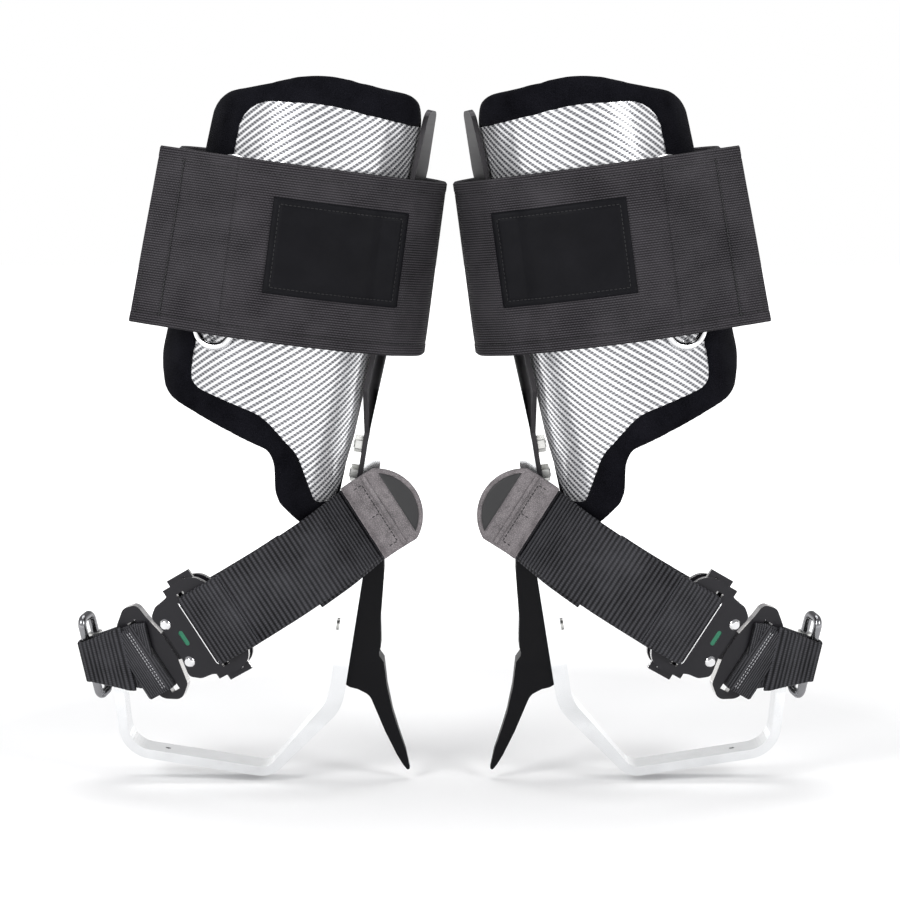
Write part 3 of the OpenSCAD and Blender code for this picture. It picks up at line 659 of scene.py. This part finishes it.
def calf_strap(side):
    path = [polar(strap_r(a), a) for a in range(-388, -57, 3)]
    band = Band(STRAP_FRAME, path, STRAP_LO, STRAP_HI, STRAP_T, 2.0, out=-1, rise=strap_rise)
    piece = band.piece("calf_strap", side, "cuff", "strap_fabric", STRAP, 90, replaces=["calf_strap"])
    end = band.s[-1]
    lines = [(0.5, z, end - 0.5, z) for z in (STRAP_LO + SEAM_IN, STRAP_HI - SEAM_IN)]
    lines += [(end - x, STRAP_LO + 4, end - x, STRAP_HI - 4) for x in (4, 9)]
    thread("calf_strap_thread", side, "cuff", "strap_fabric", THREAD, band, lines, pitch=3.2)
    bar = polar(*RING_BAR_AT)
    first = [polar(strap_r(a) - 1.2, a) for a in (-66, -62, -58, -55, -52)]
    lead = math.atan2(first[-1][1] - bar[1], first[-1][0] - bar[0])
    r_eye = 2.4 + 1.2 + 0.9
    eye = [(bar[0] + r_eye * math.cos(lead + t), bar[1] + r_eye * math.sin(lead + t))
           for t in np.linspace(0.35, 2 * math.pi - 0.35, 26)]
    last = [polar(strap_r(a) + 1.2, a) for a in (-52, -55, -60)]
    if np.dot(np.subtract(eye[0], first[-1]), np.subtract(eye[0], first[-1])) > \
            np.dot(np.subtract(eye[-1], first[-1]), np.subtract(eye[-1], first[-1])):
        eye = eye[::-1]
    tight = Band(STRAP_FRAME, first + eye + last, STRAP_LO + 5, STRAP_HI - 6, 1.8, 0.8, out=-1)
    tight.piece("calf_strap_eye", side, "cuff", "strap_fabric", STRAP, 60)
    return band


def strap_flap(side):
    root = np.array(polar(strap_r(-388), -28))
    end = np.array(FLAP_END)
    way = (end - root) / np.linalg.norm(end - root)
    length = np.linalg.norm(end - root) + 3.5
    path = [root + way * (0.12 + t) for t in np.linspace(0, length - 0.12, 30)]

    def rise(s, z):
        seam = 1.5 * np.exp(-((s - (length - 19)) / 1.1) ** 2) + np.exp(-((s - (length - 3)) / 0.8) ** 2)
        tip = 0.4 * np.clip((s - (length - 18)) / 3, 0, 1)
        return strap_rise(-s, z) - 0.5 * seam + tip

    band = Band(STRAP_FRAME, path, STRAP_LO, STRAP_HI, STRAP_T, 1.6, out=1, rise=rise, skew=7 / length)
    piece = band.piece("strap_flap", side, "flap", "strap_fabric", STRAP, 90, replaces=["strap_flap"])
    last = band.s[-1]
    lines = [(0.5, z, last - 2, z) for z in (STRAP_LO + SEAM_IN, STRAP_HI - SEAM_IN)]
    lines += [(last - 3, STRAP_LO + 3, last - 3, STRAP_HI - 3)]
    thread("strap_flap_thread", side, "flap", "strap_fabric", THREAD, band, lines,
           pitch=3.2, length=2.4, radius=0.34)
    hem = [(last - 19, STRAP_LO + 6, last - 19, STRAP_HI - 6)]
    thread("strap_flap_hem_thread", side, "flap", "strap_fabric", THREAD, band, hem,
           pitch=3.0, length=2.5, radius=0.5)


def strap_patch(side):
    lo, hi = STRAP_Z + 30, STRAP_Z + 89
    base = [polar(strap_r(a), a) for a in range(-304, -371, -2)]
    _, points, normals = resample(base, 2.0)
    path = [p + n * (STRAP_T / 2 + 0.45) for p, n in zip(points, normals)]
    reach = np.linalg.norm(np.diff(path, axis=0), axis=1).sum()

    def rise(s, z):
        rim = np.minimum(np.minimum(s, reach - s), np.minimum(z - lo, hi - z))
        return 0.75 * np.clip(rim / 5, 0, 1) - 0.5 * np.exp(-((rim - 4) / 0.7) ** 2) + 0.1

    band = Band(STRAP_FRAME, path, lo, hi, 1.1, 1.0, out=1, rise=rise)
    end = band.s[-1]
    band.piece("strap_patch", side, "cuff", "patch_satin", PATCH, 60, 0.8, replaces=["strap_patch"])
    m = 4
    lines = [(m, lo + m, end - m, lo + m), (m, hi - m, end - m, hi - m),
             (m, lo + m, m, hi - m), (end - m, lo + m, end - m, hi - m)]
    thread("strap_patch_thread", side, "cuff", "patch_satin", THREAD, band, lines,
           pitch=2.6, length=1.8, height=0.35)


# ---------- ankle webbing, leather tab and outer strap ----------

def in_web(s, n):
    a = math.radians(BUCKLE_YAW)
    along, out = (math.cos(a), math.sin(a)), (-math.sin(a), math.cos(a))
    return tuple(BUCKLE_AT[k] + s * along[k] + n * out[k] for k in (0, 1))


def web_path():
    return round_corners([(-9, WEB_MID, 0), (12, WEB_MID, 10), (38, -58.5, 45), (72, -68.5, 60),
                          (*in_web(-5, -WEB_N), 40), (*in_web(22.6, -WEB_N), 1.6),
                          (*in_web(22.6, WEB_N), 1.6), (*in_web(-2, WEB_N), 30),
                          (76, -62.2, 50), (59, -58.6, 0)], 8)


def coarse_rise(pitch, depth):
    def rise(s, z):
        return depth * (np.abs(np.sin(math.pi * s / pitch)) - 0.4) + 0.12 * np.sin(z / 13) * np.sin(s / 21)
    return rise


def ankle_strap(side):
    band = Band(WEB, web_path(), -WEB_W / 2, WEB_W / 2, WEB_T, 0.6, out=-1, rise=coarse_rise(3.0, 0.4))
    piece = band.piece("ankle_strap", side, "shank", "webbing", WEBBING, 44, 0.9, replaces=["ankle_strap"])
    tail = [(61, -55.6), (50, -52.5), (38, -48), (24, -35.5), (12, WEB_MID + 3.6), (2, WEB_MID + 3.4)]
    smooth = round_corners([(x, y, 20) for x, y in tail], 6)
    under = Band(WEB, smooth, -21, lambda s: 28.5 - 1.5 * np.clip(s / 60, 0, 1), WEB_T, 0.6,
                 out=1, rise=coarse_rise(3.0, 0.4))
    back = under.piece("ankle_strap_tail", side, "shank", "webbing", WEBBING, 40, 0.9)
    n = -(WEB_N + WEB_T / 2 + 1.0)
    over = [in_web(25.4, -WEB_N + 1.2), in_web(24.6, n + 0.4), in_web(22, n), in_web(8, n),
            in_web(-3, n - 0.2), in_web(-7, n + 0.9)]
    fold = Band(WEB, round_corners([(x, y, 1.6) for x, y in over], 6), -24.6, 24.8, 1.9, 0.7,
                out=-1, rise=coarse_rise(3.0, 0.5))
    cover = fold.piece("ankle_strap_fold", side, "shank", "webbing", WEBBING, 44, 0.8)
    e = fold.s[-1]
    rows = [(e - x, -22, e - x, 22) for x in (7.5, 9.5, 11.5, 13.5, 15.5, 17.5)]
    thread("ankle_strap_thread", side, "shank", "webbing", THREAD, fold, rows,
           pitch=1.9, length=1.4, radius=0.26)


def tube(matrix, points, radius):
    """A round wire through points in a local frame."""
    sides = 10
    p = np.array(points, float)
    d = np.gradient(p, axis=0)
    d /= np.linalg.norm(d, axis=1)[:, None]
    u = np.cross(d, [0.0, 1.0, 0.0])
    u /= np.linalg.norm(u, axis=1)[:, None]
    w = np.cross(d, u)
    verts = [q + radius * (math.cos(a) * a_u + math.sin(a) * a_w) for q, a_u, a_w in zip(p, u, w)
             for a in np.linspace(0, 2 * math.pi, sides, endpoint=False)]
    faces = []
    for i in range(len(p) - 1):
        for j in range(sides):
            a, b = i * sides + j, i * sides + (j + 1) % sides
            faces.append((a, b, b + sides, a + sides))
    faces += [tuple(reversed(range(sides))), tuple((len(p) - 1) * sides + j for j in range(sides))]
    return to_row(matrix, verts), faces


def slot_wire(side):
    """The bright wire that lines the webbing slot, with its hooked lower end."""
    s, y, reach, hook = 27.2, -PLATE_OUT - 1.2, 22, 2
    points = [(s, y, z) for z in np.linspace(-reach, reach, 12)]
    points += [(s - hook + hook * math.cos(a), y, reach + hook * math.sin(a))
               for a in np.linspace(0.3, math.pi, 7)]
    v, f = tube(BUCKLE, points, 0.55)
    emit("slot_wire", side, "shank", CHROME, v, f)


def outline_plate(matrix, outline, y0, y1, dome):
    """A plate in the x-z plane from y0 (inside) to y1 (outside) with a soft rim and a low dome."""
    pts = np.array(outline, float)
    centre = pts.mean(0)
    verts, faces = [], []
    n = len(pts)
    rim, rings = 0.985, 5
    steps = [(1.0, y0), (1.0, y0 + 0.55 * (y1 - y0)), (0.995, y0 + 0.85 * (y1 - y0)), (rim, y1)]
    for k in range(1, rings + 1):
        f = 1 - rim * k / (rings + 0.4)
        steps.append((f, y1 + dome * math.sin(0.5 * math.pi * k / rings)))
    for f, y in steps:
        for p in pts:
            q = centre + (p - centre) * f
            verts.append((q[0], y, q[1]))
    for i in range(len(steps) - 1):
        for j in range(n):
            a, b = i * n + j, i * n + (j + 1) % n
            faces.append((a, b, b + n, a + n))
    faces.append(tuple(range(n - 1, -1, -1)))
    faces.append(tuple((len(steps) - 1) * n + j for j in range(n)))
    return to_row(matrix, verts), faces


def arc(cx, cz, r, a0, a1, n):
    turns = [math.radians(a) for a in np.linspace(a0, a1, n)]
    return [(cx + r * math.cos(t), cz + r * math.sin(t)) for t in turns]


TAB_T = 2.4
TAB_MID = WEB_MID - WEB_T / 2 - 1.9 - TAB_T / 2


def ankle_tab(side):
    obj = node_copy("right_ankle_tab", "tab_master")
    remeshed(obj, 0.7, 6)
    verts, faces = taken(obj)
    emit("ankle_tab", side, "shank", LEATHER, verts, faces, replaces=["ankle_tab"])
    face_y = TAB_MID - TAB_T / 2
    moon = arc(4, 0, 27, 126, 234, 30)
    v, f = outline_plate(WEB, moon, face_y + 0.3, face_y - 1.0, -0.3)
    emit("tab_inset", side, "shank", BLACK_INSET, v, f)
    ridge = [(-3.6, -25), (-1.0, -25), (-1.0, 25), (-3.6, 25)]
    ridge = [(a[0] + (b[0] - a[0]) * t, a[1] + (b[1] - a[1]) * t)
             for a, b in zip(ridge, ridge[1:] + ridge[:1]) for t in (0, 0.25, 0.5, 0.75)]
    v, f = outline_plate(WEB, ridge, face_y + 0.3, face_y - 1.1, -0.2)
    emit("tab_ridge", side, "shank", LEATHER, v, f)
    flat_band = Band(WEB, [(-4, TAB_MID), (20, TAB_MID)], -27, 27, TAB_T, 1.0, out=-1)
    x0, x1 = 5.2, 14.4
    box = [(x0, -21, x1, -21), (x0, 21, x1, 21), (x0, -21, x0, 21), (x1, -21, x1, 21), (x0, 0, x1, 0)]
    thread("tab_thread", side, "shank", "tab_leather", THREAD, flat_band, box,
           pitch=2.6, length=1.9, radius=0.35, height=0.05)


WIDE = 22.5


def outer_strap(side):
    """The loop round the ring, the fold through the tongue's slot, and the doubled layer on top."""
    mid = LOOP_N + WEB_T / 2
    path = [(-1, -mid)] + [(LOOP_LEN + mid * math.cos(a), mid * math.sin(a))
                           for a in np.linspace(-math.pi / 2, math.pi / 2, 18)] + [(-1, mid)]
    reach = 2 * LOOP_LEN + 2 + math.pi * mid

    def half_width(s):
        x = np.minimum(s, reach - s)
        t = np.clip((x - 8) / (LOOP_LEN - 6), 0, 1)
        return WIDE + (LOOP_W / 2 - WIDE) * t

    band = Band(LOOP, path, lambda s: -half_width(s), half_width, WEB_T, 0.6,
                out=-1, rise=coarse_rise(2.2, 0.3))
    piece = band.piece("outer_strap", side, "tongue", "webbing", NARROW, 40, 0.9, replaces=["outer_strap"])
    y = -mid - WEB_T
    fold = [(SLOT_S - 0.5, mid), (SLOT_S - 0.5, y + 2), (SLOT_S + 1.5, y), (SLOT_S + 16, y),
            (SLOT_S + 17, y + 0.8)]
    wrap = Band(BUCKLE, fold, -24, 23, 1.7, 0.6, out=-1, rise=coarse_rise(1.8, 0.2))
    front = wrap.piece("outer_strap_fold", side, "tongue", "webbing", NARROW, 40, 0.8)
    e = wrap.s[-1]
    lines = [(e - x, -21.5, e - x, 20.5) for x in (14.6, 12.8)]
    thread("outer_strap_thread", side, "tongue", "webbing", PALE_THREAD, wrap, lines, pitch=2.2, length=1.7)
    top = [(16, y + 0.9), (17, y - 0.6), (20, y - 1.4), (26, y - 0.6), (LOOP_LEN - 1, y + 0.3),
           (LOOP_LEN + 3, y + 1.4)]

    def top_half(s):
        return 22 + (LOOP_W / 2 + 0.6 - 22) * np.clip(s / 30, 0, 1)

    over = Band(LOOP, round_corners([(a, b, 3) for a, b in top], 5), lambda s: -top_half(s), top_half,
                1.8, 0.6, out=-1, rise=coarse_rise(2.6, 0.35))
    cover = over.piece("outer_strap_cover", side, "tongue", "webbing", WEBBING, 40, 0.9)


# ---------- the studio ----------

def sweep_paint():
    """Matt white floor that turns into an evenly lit white sweep away from the spurs."""
    mat, tree, shader = new_material("floor_paint", (0.94, 0.94, 0.94), 0.9)
    g = Graph(tree, shader)
    length = g.node("ShaderNodeVectorMath", operation="LENGTH")
    tree.links.new(g.place(), length.inputs[0])
    far = g.math("MULTIPLY", g.math("SUBTRACT", length.outputs["Value"], 0.35), 1.6, clamp=True)
    shader.inputs["Emission Color"].default_value = (1, 1, 1, 1)
    tree.links.new(far, shader.inputs["Emission Strength"])
    return mat


def studio():
    scene = bpy.context.scene
    world = bpy.data.worlds.new("studio")
    scene.world = world
    scene.view_settings.view_transform = "Standard"
    scene.view_settings.look = "None"
    world.use_nodes = True
    tree = world.node_tree
    back = tree.nodes["Background"]
    split = tree.nodes.new("ShaderNodeSeparateXYZ")
    tree.links.new(tree.nodes.new("ShaderNodeTexCoord").outputs["Generated"], split.inputs[0])
    ramp = tree.nodes.new("ShaderNodeValToRGB")
    ramp.color_ramp.elements[0].position, ramp.color_ramp.elements[0].color = 0.16, (1.0, 1.0, 1.0, 1)
    ramp.color_ramp.elements[1].position, ramp.color_ramp.elements[1].color = 0.5, (0.34, 0.34, 0.35, 1)
    tree.links.new(split.outputs["Z"], ramp.inputs[0])
    tree.links.new(ramp.outputs[0], back.inputs[0])
    mesh = bpy.data.meshes.new("floor")
    size, z = 6.0, -0.004
    corners = [(-size, -size, z), (size, -size, z), (size, size, z), (-size, size, z)]
    mesh.from_pydata(corners, [], [(0, 1, 2, 3)])
    floor = bpy.data.objects.new("floor", mesh)
    bpy.context.collection.objects.link(floor)
    mesh.materials.append(sweep_paint())
    for name, place, size, power in (("key", (-1.0, -1.2, 1.0), 0.7, 15), ("fill", (1.1, -1.1, 0.9), 0.6, 11),
                                     ("top", (0.0, 0.1, 1.6), 1.0, 13)):
        light = bpy.data.lights.new(name, "AREA")
        light.size = size
        light.energy = power
        lamp = bpy.data.objects.new(name, light)
        lamp.location = place
        lamp.rotation_euler = (Vector((0, 0, 0.22)) - Vector(place)).to_track_quat("-Z", "Y").to_euler()
        bpy.context.collection.objects.link(lamp)
    cam = bpy.data.cameras.new("camera")
    cam.lens = 110
    cam.sensor_width = 36
    view = bpy.data.objects.new("camera", cam)
    view.location = (0, -1.748, 0.4255)
    view.rotation_euler = (math.radians(90 - 7.0), 0, 0)
    bpy.context.collection.objects.link(view)
    scene.camera = view


studio()
pad_verts, pad_faces = build_pad()
for side in SIDES:
    hard_parts(side)
    pad = emit("cuff_pad", side, "cuff", PAD[side], pad_verts, pad_faces, replaces=["cuff_pad"])
    calf_strap(side)
    strap_flap(side)
    strap_patch(side)
    ankle_strap(side)
    slot_wire(side)
    ankle_tab(side)
    outer_strap(side)
